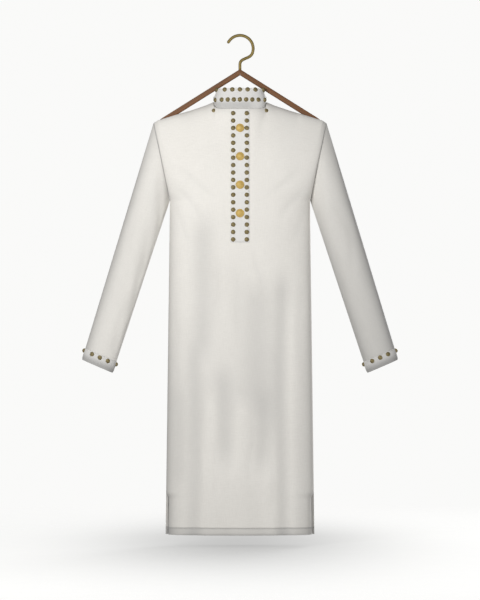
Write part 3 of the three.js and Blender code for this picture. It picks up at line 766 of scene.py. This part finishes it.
SLEEVE_CREASES = [
    # travel, angle, length in travel, width in angle, slant, depth
    (0.10, 1.9, 0.12, 0.30, 0.9, 1.8),
    (0.20, 2.5, 0.13, 0.26, 1.0, 1.6),
    (0.33, 1.2, 0.16, 0.28, -0.7, 1.5),
    (0.45, 2.3, 0.12, 0.28, 0.8, 2.0),
    (0.52, 1.4, 0.12, 0.26, 0.9, 1.7),
    (0.60, 2.4, 0.10, 0.24, 0.6, 1.6),
    (0.74, 1.5, 0.14, 0.26, -0.5, 1.4),
    (0.86, 2.1, 0.12, 0.26, 0.5, 1.5),
    (0.15, 4.4, 0.14, 0.30, -0.9, 1.8),
    (0.40, 5.0, 0.14, 0.28, 0.7, 1.6),
    (0.54, 4.0, 0.12, 0.26, -0.8, 1.9),
    (0.72, 4.8, 0.14, 0.28, 0.6, 1.5),
    (0.88, 4.2, 0.12, 0.26, 0.5, 1.4),
]


def sleeve_creases(travel, angle, phase):
    total = 0.5 * np.sin(angle * 3 + travel * 9 + phase) * np.sin(travel * 21 + phase)
    for at, turn, length, width, slant, depth in SLEEVE_CREASES:
        off = angle - turn - slant * (travel - at) * 3
        total = total + depth * bell(off, width) * bell(travel - at, length)
    return total


def sleeve_grid(hand, rings=150, count=96):
    share, side, angle = round_shares(count)
    share, side, angle = share[None, :], side[None, :], angle[None, :]
    travel = np.linspace(0, 1, rings)[:, None] ** 1.15
    shift = SEAM_GAP * 1.2
    shoulder_round = rounding((TIP[1] - lerp(TIP[1], UNDERARM[1], share)), np.full_like(share, SEAM_GAP / 2))
    start_depth = lerp(SEAM_GAP / 2, armhole_depth(share), shoulder_round)
    outer_share, inner_share = travel ** 0.85, travel ** 1.3
    outer = [lerp(TIP[i], OUTER_SEAM[i], outer_share) for i in range(2)]
    inner = [lerp(UNDERARM[i], INNER_SEAM[i], inner_share) for i in range(2)]
    outer[0] = outer[0] + shift * (1 - travel)
    inner[0] = inner[0] + shift * (1 - travel)
    half_depth = lerp(ARMHOLE_HALF_DEPTH, SLEEVE_HALF_DEPTH, travel)
    grid = section(outer, inner, share, half_depth, side)
    settled = smooth(travel, 0, 0.25)
    grid[..., 1] = lerp(side * start_depth, grid[..., 1], settled)
    on_edge = (share < 1e-9) | (share > 1 - 1e-9)
    grid[..., 1] = np.where(on_edge & (travel < 1e-9), 0, grid[..., 1])
    grid[..., 0] *= hand
    calm = smooth(travel, 0.0, 0.06) * (1 - smooth(travel, 0.93, 1.0)) * smooth(share * (1 - share), 0, 0.08)
    normals = outward(grid, grid_normals(grid, True), np.array([hand * 270.0, 0, -540.0]))
    away = np.sign(np.sum(normals * side[..., None] * np.array([0, 1.0, 0]), axis=-1, keepdims=True))
    normals = np.where(away == 0, normals, normals * away)
    return grid - normals * (sleeve_creases(travel, angle, 0.7 if hand == LEFT else 2.4) * calm)[..., None]


def ring_centres(grid):
    return grid.mean(axis=1, keepdims=True)


# Painted shade on each sleeve: how much greyer it is made at its outer rim, over its middle, at its inner
# rim, in its armhole seam and towards its cuff, where shade falls. A negative amount paints it lighter.
SLEEVE_PAINTED_SHADE = {RIGHT: (0.50, 0.14, -0.16, 0.5, 0.0), LEFT: (0.34, 0.22, 0.46, 0.1, 0.32)}
# Painted shade on each cuff: how much greyer it is made at its seam and at its hem, where shade falls.
CUFF_PAINTED_SHADE = {RIGHT: (0.22, 0.62), LEFT: (0.36, 0.62)}


def make_sleeve(name, hand):
    grid = sleeve_grid(hand)
    share, _, _ = round_shares(grid.shape[1])
    width = np.linalg.norm(grid[:, :1] - grid[:, grid.shape[1] // 2][:, None], axis=-1)
    outer_rim, middle, inner_rim, seam, low = SLEEVE_PAINTED_SHADE[hand]
    # Painted shade at the rims, in the seam and towards the cuff.
    shade = middle + outer_rim * np.exp(-((share * width / 17) ** 1.3))
    shade = shade + inner_rim * np.exp(-(((1 - share) * width / 15) ** 1.3))
    down = np.linalg.norm(grid - grid[:1], axis=-1)
    shade = np.clip(shade + seam * bell(down, 1.6) + low * down / 600, 0, 0.8)
    return cloth_piece(f"{name}_cloth", name, grid, ring_centres(grid), SLEEVE_COTTON[hand], "cotton",
                       shade, ring=True)


def cuff_point(hand, above, share, side, proud):
    up = above / CUFF_HEIGHT
    outer = [lerp(SLEEVE_OUTER_HEM[i], OUTER_SEAM[i], up) for i in range(2)]
    inner = [lerp(SLEEVE_INNER_HEM[i], INNER_SEAM[i], up) for i in range(2)]
    length = np.hypot(inner[0] - outer[0], inner[1] - outer[1])
    along = lerp(-proud / length, 1 + proud / length, share)
    depth = (SLEEVE_HALF_DEPTH + proud) * 2 * np.sqrt(np.maximum(0, share * (1 - share)))
    x, z = (lerp(outer[i], inner[i], along) for i in range(2))
    return np.stack([hand * x, side * depth, z], axis=-1)


def cuff_profile():
    """Height above the hem and how proud each row of the cuff stands, with a rolled hem."""
    above = np.concatenate([np.linspace(CUFF_HEIGHT - SEAM_GAP, 18, 12), np.linspace(18, 0, 20)[1:]])
    upper, lower = CUFF_STITCH_ABOVE
    proud = CUFF_PROUD + CUFF_EASE * smooth(CUFF_HEIGHT - above, 0, 2) - hem_curl(above, 9, 2.0)
    proud = proud - 0.5 * bell(above - upper, 0.9) - 0.4 * bell(above - lower, 0.9)
    return above[:, None], proud[:, None]


def make_cuff(name, hand):
    share, side, _ = round_shares(120)
    above, proud = cuff_profile()
    grid = cuff_point(hand, above, share[None, :], side[None, :], proud)
    at_seam, at_hem = CUFF_PAINTED_SHADE[hand]
    shade = at_seam + at_hem * (1 - smooth(above, 6, 21))
    return cloth_piece(f"{name}_band", name, grid, ring_centres(grid), CUFF_TRIM[hand], "cotton_trim",
                       shade, ring=True, thickness=CUFF_THICKNESS)


def neck_ring(angle):
    """Share of the neck's half width and half depth once round, from the wearer's right by the front."""
    across = -np.sign(np.cos(angle)) * np.abs(np.cos(angle)) ** (2 / ROUNDNESS)
    return across, np.abs(np.sin(angle)) ** (2 / ROUNDNESS), np.where(np.sin(angle) >= 0, FRONT, BACK)


def collar_point(angle, rise, proud):
    across, ring, side = neck_ring(angle)
    middle_z = np.where(side == FRONT, NECK_FRONT_Z, NECK_BACK_Z)
    seam_z = lerp(middle_z, NECK_SIDE_Z, (1 - ring) ** 2) + SEAM_GAP * 1.4
    rim_z = RIM_Z - RIM_SIDE_DIP * (1 - ring) ** 2
    half_width = lerp(NECK_HALF_WIDTH, RIM_HALF_WIDTH, rise) + proud
    half_depth = lerp(NECK_HALF_DEPTH, RIM_HALF_DEPTH, rise) + proud
    return np.stack([across * half_width, side * ring * half_depth, lerp(seam_z, rim_z, rise)], axis=-1)


def collar_outer(rise):
    """How proud the collar's outside stands: a soft roll over the seam, and two rows of stitching."""
    roll = 1.9 * bell(rise - 0.48, 0.22) - 1.1 * bell(rise, 0.12)
    return roll - sum(0.35 * bell(rise - at, 0.016) for at in COLLAR_STITCH_RISES)


def collar_section():
    """Rise and how proud, once round the collar's wall: up its outside, over the rim and down its inside."""
    rise = np.linspace(0, COLLAR_ROLL_FROM, 44)
    proud = collar_outer(rise)
    half = COLLAR_THICKNESS / 2
    turn = np.linspace(0, math.pi, 7)[1:-1]
    rim_rise = COLLAR_ROLL_FROM + (1 - COLLAR_ROLL_FROM) * np.sin(turn)
    rim_proud = proud[-1] - half + half * np.cos(turn)
    rises = np.concatenate([rise, rim_rise, rise[::-1]])
    return rises[:, None], np.concatenate([proud, rim_proud, proud[::-1] - COLLAR_THICKNESS])[:, None]


# Painted shade on the collar: how much greyer it is made all over, and how much more in its lower part, where
# shade falls.
COLLAR_PAINTED_SHADE = (0.16, 0.46)


def make_collar():
    angle = (np.arange(320) / 320 * 2 * math.pi)[None, :]
    rise, proud = collar_section()
    grid = collar_point(angle, rise, proud)
    faces = grid_faces(*grid.shape[:2], ring_across=True, ring_down=True)
    shade = COLLAR_PAINTED_SHADE[0] + COLLAR_PAINTED_SHADE[1] * (1 - smooth(rise, 0.22, 0.44))
    # Less painted shade towards the wearer's left, where the collar already turns dark away from the light.
    shade = shade * (1 - 0.9 * smooth(grid[..., 0], 15, 50))
    return mesh_piece("collar_band", grid.reshape(-1, 3), faces, TRIM, "cotton_trim", ["collar"],
                      shade=shade.reshape(-1))


def placket_lift(x, z):
    """How far the placket stands off the front: rounded edges, pressed middle and rows of stitching."""
    to_side = PLACKET_HALF_WIDTH - np.abs(x)
    to_end = np.minimum(to_side, z - PLACKET_BOTTOM_Z)
    to_end = np.minimum(to_end, PLACKET_TOP_Z - z + 4)
    edge = smooth(to_end, -0.6, 4.5)
    lift = lerp(0.45, PLACKET_PROUD, edge)
    lift = lift - 0.18 * bell(to_end - PLACKET_STITCH_INSET, 0.7)
    ripple = 0.25 * np.sin(z / 29.0 + 0.7) * np.sin(x / 11.0)
    return lift + ripple * smooth(to_end, 2, 8)


def on_placket(x, z):
    points = on_panel(FRONT, x, z)
    points[..., 1] -= placket_lift(x, z)
    return points


def make_placket():
    edge = np.array([0, 0.25, 0.6, 1.1, 1.6, 2.2, 2.7, 3.2, 3.7, 4.3])
    flat = PLACKET_HALF_WIDTH - 5
    across = [-PLACKET_HALF_WIDTH + edge, np.linspace(-flat, flat, 27), (PLACKET_HALF_WIDTH - edge)[::-1]]
    middle = np.linspace(PLACKET_TOP_Z - 5.4, PLACKET_BOTTOM_Z + 5.5, 150)
    down = [PLACKET_TOP_Z - edge, middle, (PLACKET_BOTTOM_Z + edge)[::-1]]
    x, z = np.broadcast_arrays(np.concatenate(across)[None, :], np.concatenate(down)[:, None])
    outer = on_placket(x, z)
    under = on_panel(FRONT, x, z)
    under[..., 1] -= SEAM_GAP
    points = np.concatenate([outer.reshape(-1, 3), under.reshape(-1, 3)])
    return mesh_piece("placket_strip", points, shell_faces(*x.shape), TRIM, "cotton_trim", ["placket"])


# ---- beads and buttons

BEAD_PROFILE = [
    (5.2, -1.1), (5.7, -0.8), (5.75, -0.2), (5.6, 0.3), (5.3, 0.55), (4.95, 0.65), (4.75, 0.9), (4.35, 1.4),
    (3.6, 1.9), (2.7, 2.25), (1.9, 2.45), (1.25, 2.45), (1.05, 2.3), (0.95, 2.5), (0.7, 2.7), (0.3, 2.8),
]

# A round bead, used where a row ends on an edge and its last bead is seen from all sides.
BEAD_TURNS = np.linspace(0.12, math.pi - 0.12, 17)
ROUND_BEAD_PROFILE = [(5.6 * math.sin(turn), -5.1 * math.cos(turn)) for turn in BEAD_TURNS]

# Rows of beads on the collar: height, step across, beads on each side of the middle one, and side.
COLLAR_ROWS = [
    (-133.5, 19.15, 3, FRONT),
    (-133.5, 19.15, 3, BACK),
    (-158.5, 15.3, 4, FRONT),
    (-152, 15.3, 4, BACK),
]
CUFF_ROW_ABOVE = 23.0
CUFF_BEADS_ACROSS = 5
PLACKET_BEADS_DOWN = 18
PLACKET_BEAD_X = 16.9
PLACKET_BEAD_TOP_Z = -192.8
PLACKET_BEAD_STEP = 18.5
NECK_BEAD = (65.0, -186.0)
BUTTON_TOP_Z = -229.5
BUTTON_STEP = 70.8


def surface_spots(surface, side, xs, zs):
    """Points of a surface at places seen from the front or the back, with their facings."""
    x, z = np.broadcast_arrays(np.asarray(xs, float), np.asarray(zs, float))
    return surface(x, z), facing_of(surface, x, z, np.array([0, side, 0.0]))


def collar_spots(row_z, spacing, each_side, side):
    """Places on the collar at even steps across, found along its outside."""
    angle = np.linspace(0.02, math.pi - 0.02, 1500) * (1 if side == FRONT else -1)
    rings = [(rise, collar_point(angle, rise, float(collar_outer(rise)))) for rise in np.linspace(0, 1, 200)]
    spots = []
    for k in range(-each_side, each_side + 1):
        misses = []
        for rise, ring in rings:
            i = int(np.argmin(np.abs(ring[:, 0] - k * spacing)))
            misses.append((abs(ring[i, 2] - row_z), angle[i], rise))
        _, at, rise = min(misses)
        spot = collar_point(at, rise, float(collar_outer(rise)))
        along = collar_point(at + 0.01, rise, 0) - collar_point(at - 0.01, rise, 0)
        up = collar_point(at, rise + 0.02, 0) - collar_point(at, rise - 0.02, 0)
        facing = unit(np.cross(along, up))
        facing = facing * np.sign(np.dot(facing, spot * [1, 1, 0]))
        spots.append((spot, facing, abs(k) == each_side))
    return spots


def cuff_spots(hand):
    share, side, _ = round_shares(720)
    proud = CUFF_PROUD + CUFF_EASE
    ring = cuff_point(1, CUFF_ROW_ABOVE, share, side, proud)
    middle = ring.mean(axis=0)
    low, high = ring[0, 0], ring[360, 0]
    spots = []
    last = CUFF_BEADS_ACROSS - 1
    for b in range(CUFF_BEADS_ACROSS):
        x = lerp(low, high, b / last)
        for half in (slice(0, 361), slice(360, 720)):
            part = ring[half]
            if b in (0, last) and half.start == 360:
                continue
            spot = part[int(np.argmin(np.abs(part[:, 0] - x)))]
            facing = spot - middle
            facing[1] *= (np.linalg.norm(ring[0] - ring[360]) / (2 * SLEEVE_HALF_DEPTH)) ** 2
            spots.append((spot * [hand, 1, 1], unit(facing) * [hand, 1, 1], b in (0, last)))
    return spots


def make_beads():
    x = np.repeat([-PLACKET_BEAD_X, PLACKET_BEAD_X], PLACKET_BEADS_DOWN)
    z = PLACKET_BEAD_TOP_Z - PLACKET_BEAD_STEP * np.tile(np.arange(PLACKET_BEADS_DOWN), 2)
    neck_x, neck_z = NECK_BEAD
    groups = {
        "beads_placket": surface_spots(on_placket, FRONT, x, z),
        "beads_neck_corner": surface_spots(partial(on_panel, FRONT), FRONT, [-neck_x, neck_x], neck_z),
    }
    edged = {"beads_collar": [spot for row in COLLAR_ROWS for spot in collar_spots(*row)],
             "beads_cuff_left": cuff_spots(LEFT),
             "beads_cuff_right": cuff_spots(RIGHT)}
    for name, spots in edged.items():
        for at_end, suffix in ((False, ""), (True, "_ends")):
            chosen = [spot for spot in spots if spot[2] == at_end]
            groups[name + suffix] = tuple(np.array([spot[i] for spot in chosen]) for i in range(2))
    for name, (places, facings) in groups.items():
        profile = ROUND_BEAD_PROFILE if name.endswith("_ends") else BEAD_PROFILE
        beads = turned_pieces(places, facings, profile, 28)
        mesh_piece(name, *beads, BEAD_GOLD, "bead_gold")


BUTTON_PROFILE = [
    (3.4, 0.0), (3.6, 0.3), (9.3, 0.35), (10.1, 0.7), (10.45, 1.3), (10.4, 1.9), (10.0, 2.45), (9.4, 2.65),
    (8.9, 2.5), (8.55, 2.1), (8.3, 1.95), (7.9, 2.05), (7.3, 2.55), (6.2, 3.2), (4.8, 3.75), (3.2, 4.05),
    (2.0, 4.15), (1.0, 4.2), (0.3, 4.2),
]
BUTTON_RIPPLE = [0, 0, 0, 0.06, 0.12, 0.12, 0.06] + [0] * 12


def make_buttons():
    for number in range(1, 5):
        spots = surface_spots(on_placket, FRONT, [0.0], BUTTON_TOP_Z - BUTTON_STEP * (number - 1))
        button = turned_pieces(*spots, BUTTON_PROFILE, 72, BUTTON_RIPPLE)
        mesh_piece(f"button_disc_{number}", *button, BUTTON_METAL, "button_metal", [f"button_{number}"], 50)


# ---- stitching

def make_stitching():
    lines = []
    for side in (FRONT, BACK):
        surface = partial(on_panel, side)
        reach = HEM_STITCH_REACH - (SLIT_FRONT_INSET if side == FRONT else 0)
        lines.append(surface_spots(surface, side, np.linspace(-reach, reach, 160), HEM_STITCH_Z))
        for hand in (LEFT, RIGHT):
            down = np.linspace(SLIT_STITCH_TOP_Z, HEM_STITCH_Z, 40)
            lines.append(surface_spots(surface, side, hand * reach, down))
    mesh_piece("stitching_body", *stitch_pieces(lines), THREAD, "cotton")
    inset = PLACKET_HALF_WIDTH - PLACKET_STITCH_INSET
    low = PLACKET_BOTTOM_Z + PLACKET_STITCH_INSET
    down = np.linspace(PLACKET_TOP_Z - 3.4, low, 160)
    strips = [surface_spots(on_placket, FRONT, x, down) for x in (-inset, inset)]
    strips.append(surface_spots(on_placket, FRONT, np.linspace(-inset, inset, 24), low))
    mesh_piece("stitching_placket", *stitch_pieces(strips), THREAD, "cotton_trim")
    angle = np.linspace(0, 2 * math.pi, 400)
    rings = []
    for rise in COLLAR_STITCH_RISES:
        ring = collar_point(angle, rise, float(collar_outer(rise)))
        rings.append((ring, unit(ring * [1, 1, 0])))
    mesh_piece("stitching_collar", *stitch_pieces(rings), THREAD, "cotton_trim")
    for hand, name in HANDS:
        share, side, _ = round_shares(240)
        rings = []
        for above, proud in zip(CUFF_STITCH_ABOVE, (0.4, -1.2)):
            ring = cuff_point(hand, above, np.append(share, share[0]), np.append(side, side[0]), proud)
            rings.append((ring, unit((ring - ring.mean(axis=0)) * [0.3, 1, 0.3])))
        mesh_piece(f"stitching_cuff_{name}", *stitch_pieces(rings), THREAD, "cotton_trim")


# ---- hanger

def tube(path, radii, sides):
    """A closed round bar along a path in the XZ plane."""
    tangent = unit(np.gradient(path, axis=0))
    beside = np.stack([-tangent[:, 2], 0 * tangent[:, 0], tangent[:, 0]], axis=-1)
    angle = np.arange(sides) * 2 * math.pi / sides
    across, deep = np.cos(angle)[None, :, None], np.sin(angle)[None, :, None]
    ring = across * beside[:, None, :] + deep * np.array([0, 1.0, 0])
    points = path[:, None, :] + ring * np.asarray(radii)[:, None, None]
    return points.reshape(-1, 3), bar_faces(len(path), sides)


def hook_path():
    angle = np.radians(np.linspace(*HOOK_ANGLES, 150))
    arc = BEND_RADIUS * np.stack([np.cos(angle), 0 * angle, np.sin(angle)], axis=-1)
    arc = arc + [0, 0, WIRE_RADIUS - BEND_RADIUS]
    turn = angle[-1]
    start = arc[-1]
    end = np.array(STEM_TOP)
    control = [start, start + 18 * np.array([math.sin(turn), 0, -math.cos(turn)]), end + [0, 0, 18], end]
    t = np.linspace(0, 1, 60)[1:, None]
    bend = ((1 - t) ** 3 * control[0] + 3 * (1 - t) ** 2 * t * control[1]
            + 3 * (1 - t) * t ** 2 * control[2] + t ** 3 * control[3])
    return np.concatenate([arc, bend, np.linspace(STEM_TOP, STEM_BOTTOM, 15)[1:]])


def make_hook():
    path = hook_path()
    tangent = unit(path[0] - path[1])
    turn = np.linspace(math.pi / 2 - 0.05, 0.12, 9)[:, None]
    cap = path[0] - tangent * WIRE_RADIUS * (1 - np.sin(turn))
    keep = path[np.linalg.norm(path - path[0], axis=1) > WIRE_RADIUS]
    radii = np.append(WIRE_RADIUS * np.cos(turn), np.full(len(keep), WIRE_RADIUS))
    wire = tube(np.concatenate([cap, keep]), radii, 32)
    mesh_piece("hook_wire", *wire, HOOK_BRASS, "hook_brass", ["hanger_hook"])


def rounded_square(value):
    return np.sign(value) * np.abs(value) ** 0.42


def make_arm(name, hand):
    even = np.linspace(SEAM_GAP / 2, ARM_TAPER_FROM, 60)
    x = np.concatenate([even, np.linspace(ARM_TAPER_FROM, ARM_REACH, 16)[1:]])
    size = np.interp(x, [0, ARM_TAPER_FROM, 199, 203.5, ARM_REACH], [1, 1, 0.94, 0.76, 0.45])
    corners = 56
    angle = 2 * math.pi * (np.arange(corners) + 0.5) / corners
    y = rounded_square(np.cos(angle))[None, :] * ARM_HALF_DEPTH * size[:, None]
    z = rounded_square(np.sin(angle))[None, :] * ARM_HEIGHT * size[:, None] / 2
    z = z + (ARM_APEX_Z - ARM_SLOPE * x - ARM_HEIGHT / 2)[:, None]
    points = np.stack([hand * x[:, None] + 0 * y, y, z], axis=-1)
    material = wood(f"hanger_wood_{name}", hand * math.atan(-ARM_SLOPE))
    faces = bar_faces(len(x), corners)
    mesh_piece(f"arm_{name}", points.reshape(-1, 3), faces, material, "hanger_wood", [f"hanger_arm_{name}"])


# ---- the whole part

front = make_panel("front", FRONT)
back = make_panel("back", BACK)
sleeve_left = make_sleeve("sleeve_left", LEFT)
sleeve_right = make_sleeve("sleeve_right", RIGHT)
cuff_left = make_cuff("cuff_left", LEFT)
cuff_right = make_cuff("cuff_right", RIGHT)
collar = make_collar()
placket = make_placket()
make_beads()
make_buttons()
make_stitching()
make_hook()
make_arm("left", LEFT)
make_arm("right", RIGHT)


# ---- stage, light and camera

MIDDLE_Z = -0.65775
FLOOR_Z = -1.272
FLOOR_REACH = 3.4
CAMERA_LENS = 250
CAMERA_SENSOR = 36
# How much the picture's longer side takes in at the part.
VIEW_HEIGHT = 1.5


def area_light(name, place, target, size, power, colour=(1, 1, 1)):
    light = bpy.data.lights.new(name, "AREA")
    light.shape = "DISK"
    light.size = size
    light.energy = power
    light.color = colour
    lamp = add_object(name, light)
    lamp.location = place
    away = np.array(target) - np.array(place)
    flat = math.hypot(away[0], away[1])
    lamp.rotation_euler = (math.atan2(flat, -away[2]), 0, math.atan2(-away[0], away[1]))


def make_floor():
    mesh = bpy.data.meshes.new("floor")
    corners = [(-1, -1), (1, -1), (1, 1), (-1, 1)]
    mesh.from_pydata([(x * FLOOR_REACH, y * FLOOR_REACH, 0) for x, y in corners], [], [(0, 1, 2, 3)])
    floor = add_object("floor", mesh)
    floor.location = (0, 0, FLOOR_Z)
    floor.visible_diffuse = False
    s = Shader("floor_pale")
    grain = s.noise((14, 14, 14), detail=3)
    # Painted shadow: a soft dark patch under the kurta in the floor's even glow.
    painted_shadow = s.falloff((3.0, 0.85, 0), (0, -0.17, 0))
    s.set(Base_Color=s.mix(s.spread(grain, 0.3, 0.7), (0.095, 0.095, 0.094), (0.105, 0.105, 0.104)),
          Emission_Color=s.mix(painted_shadow, (0.865, 0.865, 0.855), (0.47, 0.47, 0.465)), Emission_Strength=1.0,
          Alpha=s.spread(s.distance((1, 1, 0), (0, 0.6, 0)), 2.7, 1.1),
          Roughness=0.9, Specular_IOR_Level=0.1)
    mesh.materials.append(s.material)


def make_world():
    world = bpy.data.worlds.new("studio")
    bpy.context.scene.world = world
    world.use_nodes = True
    tree = world.node_tree
    tree.nodes.clear()
    mix = add_node(tree, "MixShader", Fac=add_node(tree, "LightPath").outputs["Is Camera Ray"])
    lit = add_node(tree, "Background", Color=(1, 1, 1), Strength=0.22)
    seen = add_node(tree, "Background", Color=(0.955, 0.955, 0.945), Strength=1.0)
    tree.links.new(lit.outputs[0], mix.inputs[1])
    tree.links.new(seen.outputs[0], mix.inputs[2])
    add_node(tree, "OutputWorld", Surface=mix.outputs[0])


def make_camera():
    camera = bpy.data.cameras.new("camera")
    camera.lens = CAMERA_LENS
    camera.sensor_width = CAMERA_SENSOR
    rig = add_object("camera", camera)
    rig.location = (0, -VIEW_HEIGHT * CAMERA_LENS / CAMERA_SENSOR, MIDDLE_Z)
    rig.rotation_euler = (math.pi / 2, 0, 0)
    bpy.context.scene.camera = rig


make_floor()
make_world()
make_camera()
area_light("key", (-0.98, -2.05, 0.08), (0, 0, -0.55), 1.0, 40.3, (1, 0.996, 0.985))
area_light("fill", (2.0, -1.75, -0.6), (0, 0, -0.65), 1.4, 14.5)
area_light("back", (1.05, 1.95, 0.0), (0, 0, -0.55), 1.2, 42)
bpy.context.scene.view_settings.view_transform = "Standard"
